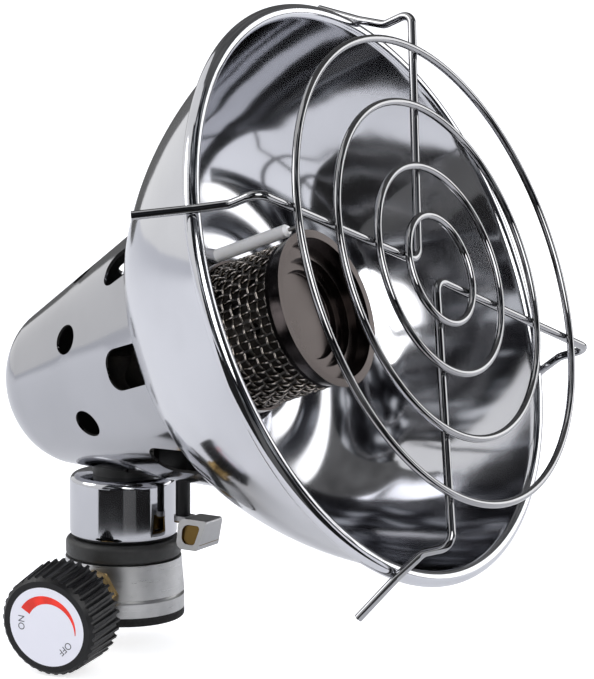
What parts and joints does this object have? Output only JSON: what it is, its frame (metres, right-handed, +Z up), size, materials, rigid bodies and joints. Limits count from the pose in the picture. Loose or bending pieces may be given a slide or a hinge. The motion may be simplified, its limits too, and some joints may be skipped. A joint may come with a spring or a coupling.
{
  "type": "portable propane heater",
  "caption": "Canister-top radiant gas heater: chromed reflector bowl with woven-mesh burner, wire guard, vented shroud, valve with knob, and piezo igniter.",
  "frame": {"origin": "mouth of the canister thread under the valve body, on the neck's axis", "axes": "+Z up along the neck, -Y is where the bowl looks (tilted 21 degrees up), the gas knob is on the -X side"},
  "size_m": [0.1444, 0.1386, 0.1586],
  "materials": {
    "satin_metal": "satin, fine turned",
    "black_rubber": "matte",
    "brass": "turned",
    "black_plastic": "fine grain",
    "white_plastic": "printed face",
    "dark_plastic": "matte",
    "chrome": "mirror plated sheet",
    "chrome_wire": "plated wire",
    "steel": "satin",
    "burner_steel": "stainless, heat tinted",
    "white_ceramic": "glazed",
    "lead_silicone": "smooth silicone"
  },
  "bodies": {
    "heater": {"valve_body": "satin_metal", "base_ring": "black_rubber", "canister_seal": "black_rubber", "canister_pin": "brass", "gland_nut": "brass", "neck_collar": "dark_plastic", "neck_cup": "chrome", "riser_tube": "brass", "shroud": "chrome", "saddle_washer": "dark_plastic", "clamp_saddle": "steel", "lock_nut": "steel", "reflector_bowl": "chrome", "elbow_block": "brass", "jet": "brass", "mixing_tube": "steel", "burner_flange": "steel", "burner_core": "steel", "burner_mesh": "burner_steel", "burner_cap": "burner_steel", "electrode_insulator": "white_ceramic", "electrode_pin": "steel", "guard_ring_1": "chrome_wire", "guard_ring_2": "chrome_wire", "guard_ring_3": "chrome_wire", "guard_ring_4": "chrome_wire", "guard_wire_top_left": "chrome_wire", "guard_wire_right_bottom": "chrome_wire", "igniter_body": "black_plastic", "ignition_lead": "lead_silicone"},
    "gas_knob": {"knob": "black_plastic", "knob_label": "white_plastic", "valve_stem": "brass", "stem_o_ring": "black_rubber"},
    "trigger": {"igniter_trigger": "steel", "igniter_plunger": "black_plastic"}
  },
  "joints": [
    {"name": "knob_turn", "type": "hinge", "parent": "heater", "child": "gas_knob", "pos_m": [-0.02958, -0.00327, 0.00639], "axis": [-0.9859, -0.1088, -0.1271], "range_deg": [0, 230]},
    {"name": "trigger_press", "type": "slide", "parent": "heater", "child": "trigger", "axis": [0, 0, 1], "range_m": [0, 0.004], "stiffness_N_per_m": 1500, "springref_m": -0.001}
  ]
}
